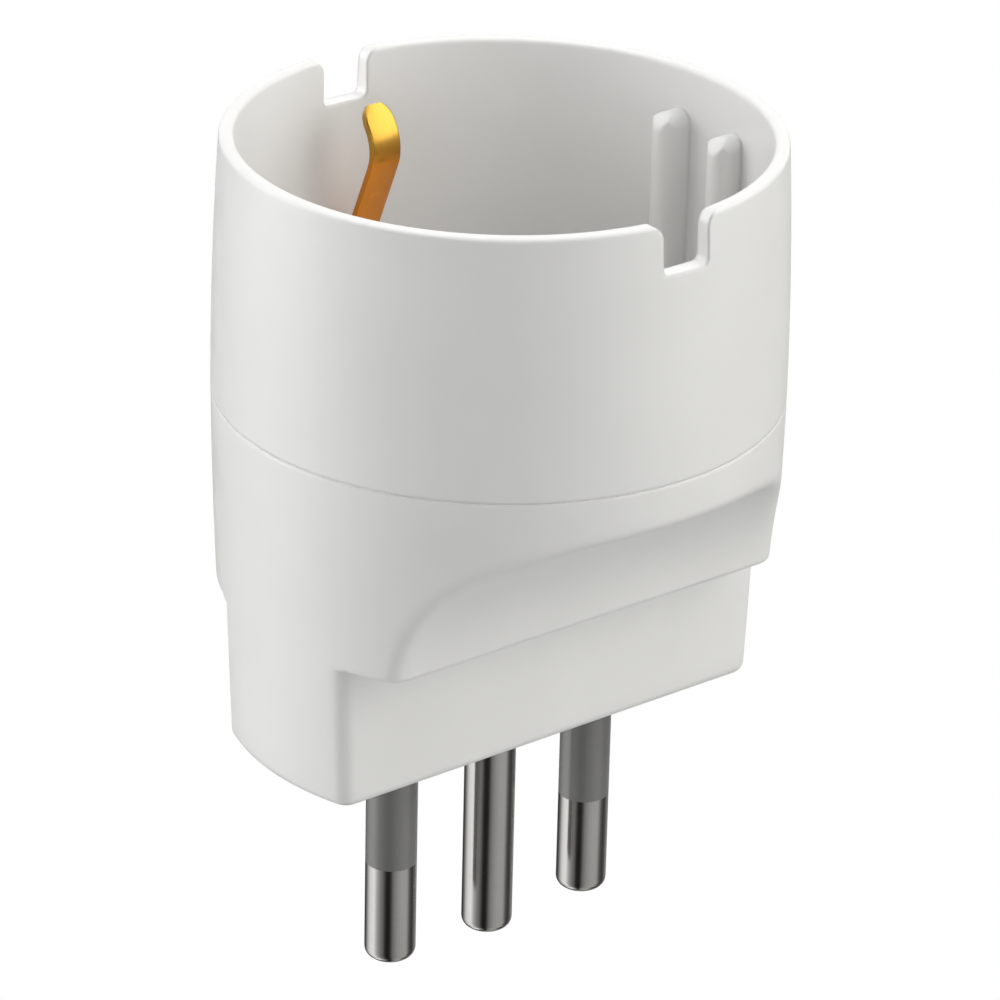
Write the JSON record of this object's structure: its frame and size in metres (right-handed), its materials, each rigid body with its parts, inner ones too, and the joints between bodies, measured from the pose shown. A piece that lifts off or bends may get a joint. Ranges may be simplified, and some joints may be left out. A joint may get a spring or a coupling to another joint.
{
  "type": "plug adapter",
  "caption": "Plug adapter: a round recessed side-earth socket with guide ribs and brass earth clips above a flat in-line pin plug with sleeved round pins and finger coves.",
  "frame": {"origin": "on the earth pin's axis, in the plane of the plug face that the pins stand in", "axes": "+Z towards the socket's mouth, X along the row of pins, Y across it"},
  "size_m": [0.0432, 0.0432, 0.0668],
  "materials": {
    "shell_plastic": "satin moulded white plastic",
    "sleeve_plastic": "matt grey moulded sleeve",
    "nickel": "nickel-plated brass, turned",
    "brass": "rolled sheet brass",
    "spring_steel": "spring steel, oiled",
    "shutter_plastic": "matt moulded plastic",
    "plate_plastic": "matt moulded plastic"
  },
  "bodies": {
    "housing": {"socket_shell": "shell_plastic", "plug_body": "shell_plastic", "line_pin": "nickel", "neutral_pin": "nickel", "earth_pin": "nickel", "line_sleeve": "sleeve_plastic", "neutral_sleeve": "sleeve_plastic", "contact_carrier": "plate_plastic", "carrier_screws": "spring_steel", "line_contact": "brass", "neutral_contact": "brass", "line_contact_spring": "spring_steel", "neutral_contact_spring": "spring_steel", "earth_strap": "brass", "shutter_spring": "spring_steel", "shutter_plate": "plate_plastic"},
    "shutter": {"shutter": "shutter_plastic"}
  },
  "joints": [
    {"name": "shutter_turn", "type": "hinge", "parent": "housing", "child": "shutter", "pos_m": [0, 0, 0.0255], "axis": [0, 0, 1], "range_deg": [0, 34], "stiffness_Nm_per_rad": 0.003, "springref_deg": -11.46, "deforming": ["shutter_spring"]}
  ]
}
